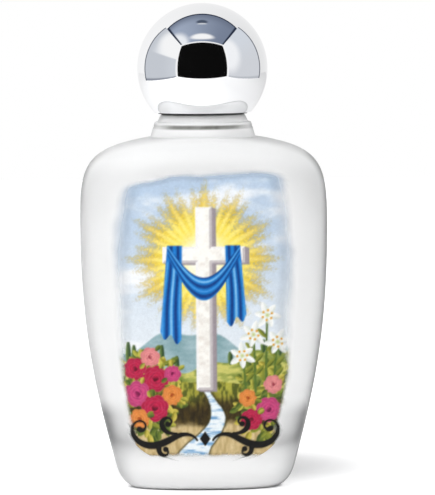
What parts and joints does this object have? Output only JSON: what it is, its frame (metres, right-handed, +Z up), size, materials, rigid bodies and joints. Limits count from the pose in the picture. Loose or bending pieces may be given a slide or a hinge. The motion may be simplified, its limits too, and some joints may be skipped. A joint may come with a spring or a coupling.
{
  "type": "holy water bottle",
  "caption": "Flat-sided frosted glass flask with broad shoulders, a printed front panel and a mirror-chrome ball cap that screws off its neck.",
  "frame": {"origin": "centre of the resting face, on the axis of the neck", "axes": "+Z up along the neck, -Y out of the printed front, +X to the right of the printed front"},
  "size_m": [0.057, 0.0366, 0.1116],
  "materials": {
    "frosted_glass": "acid-frosted outside, satin",
    "printed_transfer": "printed colours, low gloss",
    "chrome_shell": "mirror",
    "dark_plastic": "moulded, satin",
    "seal_foam": "soft foam, matte"
  },
  "bodies": {
    "bottle": {"glass_bottle": "frosted_glass", "front_transfer": "printed_transfer"},
    "liner": {"cap_liner": "seal_foam"},
    "cap": {"cap_insert": "dark_plastic", "cap_shell": "chrome_shell"}
  },
  "joints": [
    {"name": "cap_rise", "type": "slide", "parent": "bottle", "child": "liner", "axis": [0, 0, 1], "range_m": [0, 0.01271]},
    {"name": "cap_turn", "type": "hinge", "parent": "liner", "child": "cap", "pos_m": [0, 0, 0.0967], "axis": [0, 0, 1], "range_deg": [0, 1440]}
  ],
  "couplings": [
    {"joint": "cap_rise", "follows": "cap_turn", "m_per_rad": 0.00050532}
  ]
}
